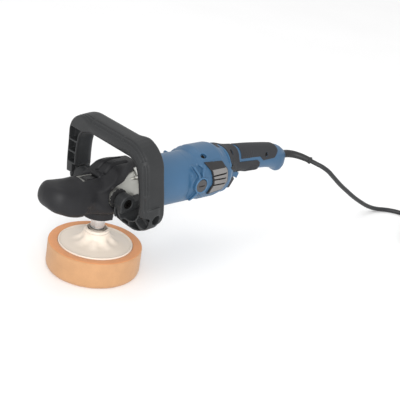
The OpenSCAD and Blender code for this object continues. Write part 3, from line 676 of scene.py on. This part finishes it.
def housing_field(x, y, z):
    a = np.abs(y)
    f = housing_outer(x, y, z)
    ring = np.hypot(y, z - AXIS_Z)
    f = np.maximum(f, -np.maximum(ring - 36.8, x - 142))
    back = np.maximum(np.hypot(y, z - 124.5) - 37, 141.9 - x)
    spoke = np.minimum(np.abs(y), np.abs(z - AXIS_Z)) - 3
    spider = np.maximum(np.minimum(ring - 14, np.maximum(spoke, ring - 38)), np.abs(x - 171) - 5)
    wall = np.minimum(np.abs(x - 166.75) - 0.75, spider)
    f = np.maximum(f, -np.maximum(back, -wall))
    f = np.maximum(f, -np.maximum(ring - np.where(x > 168, 11, 8), np.abs(x - 171) - 6.2))
    f = np.maximum(f, -rod(x - BRUSH_X, z - AXIS_Z, a, 8.5, 12, 41.6))
    f = np.maximum(f, -rod(x - BRUSH_X, z - BRUSH_Z, a, 10.7, 41.4, 45.3))
    f = smax(f, -rod(x - BRUSH_X, z - BRUSH_Z, a, 8.9, 45, 50), 0.6)
    for z0 in (112, 122, 132, 142):
        f = np.maximum(f, -box(x, a, z, (186, 30, z0), (203, 50, z0 + 5), 0.5))
    dial_room = rod(y, z - 159, x, 9.6, 212.8, 219.2)
    slit = np.minimum(dial_room, box(x, y, z, (212.8, -7.2, 155), (219.2, 7.2, 175)))
    f = smax(f, -slit, 0.5)
    for s in (-1, 1):
        c, n = math.cos(math.radians(32.5)), math.sin(math.radians(32.5)) * -s
        u, h = y * c - (z - WIDE_Z) * n, y * n + (z - WIDE_Z) * c
        f = smax(f, -rod((x - 172) * 0.85, u, h, 4.7, 39.4, 60), 0.8)
        f = np.maximum(f, -rod(x - 172, u, h, 1.8, 30, 60))
    for s in (-1, 1):
        for t in (-1, 1):
            f = np.maximum(f, -rod(y - s * FLANGE_SCREW, z - AXIS_Z - t * FLANGE_SCREW, x, 1.8, 40, 53))
    return f


motor = surface("motor_shell", housing_field, (48, -46, 78), (224, 46, 170), 0.9)
dress(motor, blue_m, stands_for=["motor_housing"])

# The vent cover's grooves, each with the height of its slot
LINES = [
    (120.4, [(173.6, 113.4), (180.4, 120.4), (207, 119.8)]),
    (129.2, [(172, 129.8), (207, 128.7)]),
    (136, [(172.6, 147.2), (178.8, 135.4), (208, 136.3)]),
]


def groove(x, z):
    return sum(np.exp(-((line(x, z, points)[0] / 1.1) ** 4)) for _, points in LINES)


def vent_field(x, y, z):
    """The grey vent cover on the near side; the far one is its mirror."""
    edge = outline(x, z, VENT)
    r = np.hypot(y, z - WIDE_Z)
    limit = np.interp(x, [150, 204, 216], [46.4, 46.4, 43.6])
    limit = limit - 2.4 * np.minimum(groove(x, z), 1) - 1.2 * step(z, 144.6, 146)
    f = smax(r - limit, edge + 0.2, 1.4)
    f = np.maximum(f, -(wide(x, y, z) - 0.05))
    f = np.maximum(f, -rod(x - BRUSH_X, z - BRUSH_Z, -y, 13.4, 20, 60))
    f = np.maximum(f, y + 20)
    for z0, _ in LINES:
        f = smax(f, -box(x, -y, z, (182, 30, z0 - 0.7), (205, 60, z0 + 0.5), 0.3), 0.3)
    return f


def centres(obj):
    """The middle of each face, as three rows of coordinates."""
    spot = np.zeros(len(obj.data.polygons) * 3)
    obj.data.polygons.foreach_get("center", spot)
    return spot.reshape(-1, 3).T / MM


for side_name, sign in (("vent_cover_right", 1), ("vent_cover_left", -1)):
    low_y, high_y = (-48, -20) if sign > 0 else (20, 48)
    vent = surface(
        side_name + "_looks",
        lambda x, y, z: vent_field(x, y * sign, z),
        (164, low_y, 102),
        (216, high_y, 158),
        0.6,
    )
    dress(vent, vent_m, stands_for=[side_name])
    vent.data.materials.append(dark_m)
    sx, sy, sz = centres(vent)
    shade = (sz > 145) | (outline(sx, sz, VENT) > -1.9) | (groove(sx, sz) > 0.3)
    vent.data.polygons.foreach_set("material_index", shade.astype(np.int32))

# ---- rear handle ------------------------------------------------------------
# Sections of the rear handle: x, height of its middle, half its width and half its height
STATIONS = [
    (224, 125.5, 39, 39),
    (233, 127.5, 33.5, 34.5),
    (243, 131.5, 25, 28.5),
    (254, 134.5, 20, 24.5),
    (266, 135.5, 18, 22.5),
    (290, 134.5, 17.5, 21.7),
    (320, 132, 18, 20.8),
    (345, 129, 18.5, 20.5),
    (358, 126, 18.5, 21.2),
    (369, 121, 17, 22.8),
    (379, 119, 13.5, 18.5),
    (386, 121, 8, 11),
]
MIDDLE = [(s[0], s[1]) for s in STATIONS]
HALF_W = [(s[0], s[2]) for s in STATIONS]
HALF_H = [(s[0], s[3]) for s in STATIONS]


def handle(x, y, z, grow=0.0):
    w, h = curve(x, HALF_W) + grow, curve(x, HALF_H) + grow
    u, v = np.abs(y) / w, np.abs(z - curve(x, MIDDLE)) / h
    f = ((u**2.3 + v**2.3 + 1e-9) ** (1 / 2.3) - 1) * np.minimum(w, h) * 0.95
    return np.maximum(f, np.abs(x - 305) - 81 - (grow < 0) * 2)


# The trigger's pin, the lock-on button, the trigger's travel in degrees, and its outline by x and z
PIN_X, PIN_Z = 232, 112
LOCK_X, LOCK_Z = 229, 139
TRAVEL = (0, 2.7, 5.4, 8.2)
TRIGGER = [
    (227.2, 117.8), (227.2, 101.2), (233, 93), (252.9, 90.5), (261.4, 105), (256.4, 113.9),
    (246, 117.9),
]


def trigger_room(x, y, z):
    """Room for the trigger at every angle of its travel about its pin."""
    rooms = []
    u, v = x - PIN_X, z - PIN_Z
    for turned in np.radians(TRAVEL):
        c, n = math.cos(turned), math.sin(turned)
        rooms.append(outline(PIN_X + u * c + v * n, PIN_Z - u * n + v * c, TRIGGER))
    return np.maximum(np.minimum.reduce(rooms), np.abs(y) - 15)


# The lip behind the trigger, the lower and upper soft grip, and the shell screws, all by x and z
HOOK = [
    (239.5, 129), (246.5, 124.5), (262, 118), (266.5, 116.5), (263, 107.3), (257, 110.8), (249, 112),
    (242.5, 118),
]
LOWER = [
    (227.5, 190), (228.6, 163), (224.6, 150), (228, 140), (234, 133), (241, 129.5), (247, 124.6),
    (252, 119.7), (266, 117.4), (270, 108), (272, 90), (314, 90), (312, 128), (305, 133.5),
    (262, 136.5), (259, 144), (257, 190),
]
UPPER = [(263, 190), (264.5, 141.5), (310, 138.5), (319, 130.5), (345, 131.5), (354, 142), (358, 190)]
SCREWS = ((240.5, 155.5), (325, 140))


def shell_field(x, y, z, s):
    """One half of the rear handle; s is 1 for the left one and -1 for the right one."""
    f = smin(handle(x, y, z), smax(outline(x, z, HOOK), np.abs(y) - 17.6, 1.2), 1.5)
    seam = smax(f, 0.15 - s * y, 0.8)
    f = np.maximum(f, 0.02 - s * y)
    hollow = handle(x, y, z, -3.0)
    solid = np.maximum(np.abs(x - 386) - 14, np.abs(z - 103) - 13)
    for q in SCREWS:
        solid = np.minimum(solid, np.hypot(x - q[0], z - q[1]) - 5.5)
    solid = np.minimum(solid, box(x, np.abs(y), z, (228, 15.5, 107), (236, 40, 117)))
    f = np.maximum(np.maximum(f, seam), -np.maximum(hollow, -solid))
    f = smax(f, -trigger_room(x, y, z), 0.4)
    for q in SCREWS:
        f = np.maximum(f, -rod(x - q[0], z - q[1], y, 1.8, -60, 10))
        f = np.maximum(f, -rod(x - q[0], z - q[1], y, 3.6, -60, -9))
    f = np.maximum(f, -rod(x - LOCK_X, z - LOCK_Z, y, 4.1, -60, -20))
    f = np.maximum(f, -rod(x - PIN_X, z - PIN_Z, y, 2, -18.5, 18.5))
    f = smax(f, -rod(x - 376, z - 107, y, 3, -60, 60), 0.8)
    return np.maximum(f, -rod(y, z - 124.5, x, 5.6, 371, 400))


for name, s in (("handle_shell_left", 1), ("handle_shell_right", -1)):
    low_y, high_y = (0, 40) if s > 0 else (-40, 0)
    shell = surface(
        name + "_looks",
        lambda x, y, z: shell_field(x, y, z, s),
        (224, low_y, 85),
        (387, high_y, 166),
        1.0,
    )
    dress(shell, blue_m, stands_for=[name])
    shell.data.materials.append(dark_m)
    sx, sy, sz = centres(shell)
    shade = np.minimum(*[np.hypot(sx - q[0], sz - q[1]) for q in SCREWS]) < 3.9
    shell.data.polygons.foreach_set("material_index", shade.astype(np.int32))


def panel_field(x, y, z, shape, ridges):
    """A soft grip that wraps over the handle, inside an outline by x and z."""
    thick = 1.2 + ridges(x, z)
    f = smax(handle(x, y, z) - thick * 0.95, outline(x, z, shape), 1.0)
    f = np.maximum(f, -(handle(x, y, z) - 0.02))
    f = np.maximum(f, -smax(outline(x, z, HOOK), np.abs(y) - 17.6, 1.2))
    for q in SCREWS:
        f = smax(f, -rod(x - q[0], z - q[1], y, 3.6, -60, 0), 0.5)
    f = smax(f, -rod(x - LOCK_X, z - LOCK_Z, y, 4.1, -60, -20), 0.4)
    return np.maximum(f, -trigger_room(x, y, z))


def upper_ridges(x, z):
    lean = x - 0.5 * (z - 140)
    wave = 1.4 * (0.5 + 0.5 * np.cos((lean - 262) * 2 * np.pi / 5.2))
    return wave * step(lean, 262, 265) * step(-lean, -290, -286) * step(-z, -152, -148)


def lower_ridges(x, z):
    lean = x - 0.6 * (z - 120)
    wave = 1.3 * (0.5 + 0.5 * np.cos((lean - 290) * 2 * np.pi / 5))
    return wave * step(lean, 288, 292) * step(-z, -126, -122)


grip = surface(
    "upper_grip_looks",
    lambda x, y, z: panel_field(x, y, z, UPPER, upper_ridges),
    (262, -22, 128),
    (359, 22, 161),
    0.8,
)
dress(grip, grip_m, stands_for=["upper_grip"])
grip = surface(
    "lower_grip_looks",
    lambda x, y, z: panel_field(x, y, z, LOWER, lower_ridges),
    (224, -42, 100),
    (315, 42, 168),
    0.8,
)
dress(grip, grip_m, stands_for=["lower_grip"])

# ---- pad and plate ----------------------------------------------------------
rng = np.random.default_rng(7)
waves = [(rng.integers(9, 60), rng.uniform(0, 6.28), rng.uniform(0.1, 0.9)) for _ in range(14)]


def foam_skin(a, z):
    """How far the pad's skin stands in or out, at an angle in radians and a height."""
    return -0.14 - sum(0.02 * math.sin(k * a + p + z * q) for k, p, q in waves)


# Working face, rounded lower edge, wall, rounded upper edge, rim, and the seat of the plate
profile = [(r, 0) for r in (0, 12, 30, 48, 60, 65)]
profile += [(66.6, 0.05), (67.5, 0.7), (68.3, 1.7), (69, 2.9), (69.5, 4.4), (69.85, 6)]
profile += [(70, z) for z in np.linspace(8, 38.5, 14)]
profile += [(69.8, 39.8), (69.2, 40.7), (68.2, 41), (64, 41), (60, 41), (56.6, 41)]
profile += [(55.95, 40.6), (55.9, 38), (55.9, 36.1), (40, 36), (20, 36), (0, 36)]
pad = spin("foam_pad_looks", profile, 360, foam_skin)
dress(pad, foam_m, body="spindle", stands_for=["foam_pad"])
# The top rim's faces take the lighter, more orange tone: painted light
pad.data.materials.append(foam_top_painted_light_m)
pad.data.polygons.foreach_set("material_index", (centres(pad)[2] > 40.4).astype(np.int32))


# The plate's upper side by radius
PLATE_TOP = [
    (0, 64.5), (15.5, 64.5), (16.8, 62.5), (17.6, 59), (20.5, 53.6), (25, 49),
    (32, 45.2), (42, 42.7), (50, 41.4), (52.2, 41.3), (54, 42.2), (56, 42.2),
]


def plate_field(x, y, z):
    r = np.hypot(x, y)
    angle = np.arctan2(y, x)
    lobe = np.cos(8 * angle)
    top = curve(r, PLATE_TOP)
    top = top + 1.6 * lobe * np.exp(-(((r - 24) / 8) ** 2)) + 0.5 * np.exp(-(((r - 53.6) / 1.2) ** 2))
    f = (z - top) * np.interp(r, [0, 15, 17, 22, 30, 60], [1, 0.9, 0.3, 0.55, 0.85, 1])
    f = smax(f, r - 55.3, 0.8)
    f = smax(f, 37.2 - z, 0.3)
    f = smin(f, rod(x, y, z, 17.4, 58, 64.5, 0.8), 1.0)
    f = smin(f, rod(x, y, z, 19.6, 50, 61.0, 1.0), 2.0)
    f = np.maximum(f, -rod(x, y, z, 11, 42, 70))
    return np.maximum(f, -rod(x, y, z, 4, 30, 43))


plate = surface("plate_looks", plate_field, (-56, -56, 37), (56, 56, 65), 0.8)
dress(plate, plate_m, body="spindle", stands_for=["backing_plate"])

# ---- lead -------------------------------------------------------------------
CORD_R = 3.9
# The lead's middle line inside the strain relief, then down to the ground and along it to the coil
SLEEVE = [
    (386, 0, 124.5), (396, -1, 124.5), (406, -6, 124), (414, -14, 123), (420, -24, 121.5),
    (425, -34, 119.5),
]
LEAD = [
    (430, -44, 117), (437, -52, 113.5), (448, -58, 106), (463, -60, 94), (488, -60, 75),
    (513, -60, 58), (539, -60, 41), (565, -60, 26), (585, -60.5, 15.5), (603, -62.5, 8.2),
    (618, -66.5, 4.7), (631, -73.5, 3.9), (642, -84.5, 3.9), (650, -99, 3.9),
    (655, -118, 3.9), (658.6, -142, 3.9), (660.9, -168, 3.9), (661.9, -192, 3.9),
]
# Middle of the coil, on the ground
SPOT = (602, -210)


def turn(angle, radius, height):
    """A point of the coil, at an angle in degrees."""
    a = math.radians(angle)
    return (SPOT[0] + radius * math.cos(a), SPOT[1] + radius * math.sin(a), height)


# The coil as degrees wound so far, radius and height: turns beside each other in three
# layers, and then over the top to the plug
KEYS = [
    (0, 59.9, 3.9), (60, 52, 3.9), (380, 52, 3.9), (430, 44, 3.9), (740, 44, 3.9), (790, 36, 3.9),
    (1080, 36, 3.9), (1120, 36, 12), (1395, 36, 12), (1440, 44, 12), (1755, 44, 12), (1800, 52, 12),
    (2070, 52, 12), (2115, 52, 20.1), (2380, 52, 20.1), (2430, 44, 20.1), (2740, 44, 20.1), (2790, 36, 20.1),
    (2990, 36, 20.1), (3035, 36.5, 28), (3070, 44, 28), (3110, 44, 28),
]
wound = []
for angle in np.arange(0, 3110.1, 7.5):
    i = min(sum(k[0] <= angle for k in KEYS) - 1, len(KEYS) - 2)
    b = float(step(angle, KEYS[i][0], KEYS[i + 1][0]))
    wound.append(turn(-angle, *[KEYS[i][c] * (1 - b) + KEYS[i + 1][c] * b for c in (1, 2)]))
TAIL = [(582, -169.5, 29.6), (589.5, -166.4, 32.2), (594, -166, 33), (598, -166, 33)]
to_coil = smooth_path(SLEEVE + LEAD + wound[:2], 4)[:-4]
to_plug = smooth_path([wound[-2]] + TAIL, 4)[1:]
route = np.vstack([to_coil, smooth_path(wound[:-1], 1), to_plug])
lead = tube("mains_lead", route, CORD_R, 18)
dress(lead, cord_m, stands_for=["cord_lead", "cord_coil", "cord_tail"])

# The strain relief: narrow inside the tail cap, thick outside it, then thinner up to an end collar
sleeve_line = np.vstack([[(373, 0, 124.5), (379, 0, 124.5), (385, 0, 124.5)], smooth_path(SLEEVE, 16)])
far = np.concatenate([[0], np.cumsum(np.linalg.norm(np.diff(sleeve_line, axis=0), axis=1))])
end = far[-1]
radius = np.interp(far, [0, 12.9, 13, 20, end - 4, end - 3.6, end], [5.5, 5.5, 6.9, 6.8, 5.2, 6.1, 6.1])
sleeve = tube("lead_sleeve", sleeve_line, radius, 24, bore=3.95)
dress(sleeve, black_m, stands_for=["strain_relief"])

# The plug's middle line
PLUG_Y, PLUG_Z = -166, 33


def plug_field(x, y, z):
    y, z = y - PLUG_Y, z - PLUG_Z
    f = rod(y, z, x, 6, 598, 622, 1)
    w = curve(x, [(612, 6), (618, 8), (626, 15.5), (636, 17), (642, 17)])
    h = curve(x, [(612, 6), (618, 6.6), (626, 7.8), (642, 8)])
    b = smax(smax(np.abs(y) - w, np.abs(z + 1) - h, 4), np.abs(x - 628) - 14, 2)
    f = smin(f, b, 3)
    for i in range(3):
        f = smax(f, -(np.abs(x - 628 - 4 * i) - 0.7 + 4 * np.clip(15.8 - np.abs(y), 0, 1)), 0.5)
    return f


plug = surface("plug_looks", plug_field, (598, -183, 24), (642, -149, 40), 0.8)
dress(plug, black_m, stands_for=["plug_body"])


# ---- the CAD pieces that stay -----------------------------------------------
def keep(mat, names, bevel=0.0, segments=2):
    """Gives CAD pieces their material and, where bevel is more than 0, softened edges."""
    for name in names:
        obj = next(o for o in bpy.data.objects if o.type == "MESH" and o.name == name)
        obj.data.materials.clear()
        obj.data.materials.append(mat)
        if bevel:
            mod = obj.modifiers.new("edge", "BEVEL")
            mod.width = bevel * MM
            mod.segments = segments
            mod.limit_method = "ANGLE"
            mod.angle_limit = math.radians(40)


keep(cast_m, ["gear_housing"], 0.5)
keep(steel_m, ["spindle"], 0.4)
keep(steel_m, ["plate_insert", "flange_screws", "cover_screws"], 0.2)
keep(screw_m, ["housing_screws", "shell_screws", "handle_bolts"], 0.2)
keep(
    steel_m,
    [
        "spindle_bearing_lower", "spindle_bearing_upper", "motor_bearing_front", "motor_bearing_rear",
        "armature_shaft", "trigger_pin", "lock_spring", "brush_springs",
    ],
)
keep(gear_m, ["ring_gear", "pinion"])
keep(cap_m, ["speed_dial"], 0.3)
keep(black_m, ["lock_on_button", "handle_washers", "cord_tie"], 0.4)
keep(grip_m, ["trigger"], 1.3, 3)
keep(cap_m, ["brush_caps"], 0.5)
keep(core_m, ["nose_core", "bearing_cover", "fan", "fan_baffle", "switch_body", "cord_clamp"])
keep(pile_m, ["loop_disc"])
keep(copper_m, ["field_coils", "armature_windings", "commutator"])
keep(iron_m, ["stator_core", "armature_core"])
keep(carbon_m, ["carbon_brushes"])
keep(board_m, ["speed_module"])
keep(brass_m, ["brush_holders", "plug_pins"])

# Painted shade on the dark floors of the vents, and the same dark colour on a frame round the dial's slit
motor.data.materials.append(dark_m)
sx, sy, sz = centres(motor)
dark = (outline(sx, sz, VENT) < -0.6) & (np.abs(sy) > 20)
dark |= (np.abs(sx - 216) < 4.8) & (np.abs(sy) < 9.4) & (sz > 150)
motor.data.polygons.foreach_set("material_index", dark.astype(np.int32))

# ---- floor, light and camera ------------------------------------------------
REACH = 6000
corners = [(-REACH, -REACH, 0), (REACH, -REACH, 0), (REACH, REACH, 0), (-REACH, REACH, 0)]
floor = mesh("floor", corners, [(0, 1, 2, 3)], smooth=False)
floor_m = material("floor_white", (246, 246, 246), rough=0.8, spread=0.01, patch=3, grain=40, bump=0.02)
floor.data.materials.append(floor_m)
bpy.context.scene.view_settings.view_transform = "Standard"
world = bpy.data.worlds.new("studio")
bpy.context.scene.world = world
world.use_nodes = True
world.node_tree.nodes["Background"].inputs["Color"].default_value = (1, 1, 1, 1)
world.node_tree.nodes["Background"].inputs["Strength"].default_value = 1.0


def placed(right, above, back, place):
    """The matrix of a lamp or camera that looks against back; place is in metres."""
    return Matrix([(right[i], above[i], back[i], place[i]) for i in range(3)] + [(0, 0, 0, 1)])


def lamp(name, place, aim, size, power):
    """A round area lamp; place, aim and size are in metres, power in watts."""
    data = bpy.data.lights.new(name, "AREA")
    data.shape = "DISK"
    data.size = size
    data.energy = power
    obj = bpy.data.objects.new(name, data)
    bpy.context.collection.objects.link(obj)
    back = np.array(place, float) - np.array(aim, float)
    back /= np.linalg.norm(back)
    right = np.cross([0, 0, 1.0], back)
    right /= np.linalg.norm(right)
    obj.matrix_world = placed(right, np.cross(back, right), back, place)


lamp("key", (-1.2, -1.6, 0.85), (0.1, 0, 0.1), 1.0, 30)
lamp("top", (0.3, 0.5, 1.8), (0.1, 0, 0.1), 1.0, 3)

# The camera's own axes before it is rolled, and its place in metres
roll = math.radians(9.83)
back = np.array([-0.6607, -0.6335, 0.4027])
right = np.array([0.692, -0.722, 0.0])
up = np.array([0.2907, 0.2787, 0.9154])
across = math.cos(roll) * right + math.sin(roll) * up
above = -math.sin(roll) * right + math.cos(roll) * up
above = above - back * above.dot(back) / back.dot(back)
lens = bpy.data.cameras.new("camera")
lens.lens = 85.3
lens.sensor_width = 36
camera = bpy.data.objects.new("camera", lens)
bpy.context.collection.objects.link(camera)
camera.matrix_world = placed(across, above, back, (-0.8032, -0.9668, 0.6856))
bpy.context.scene.camera = camera
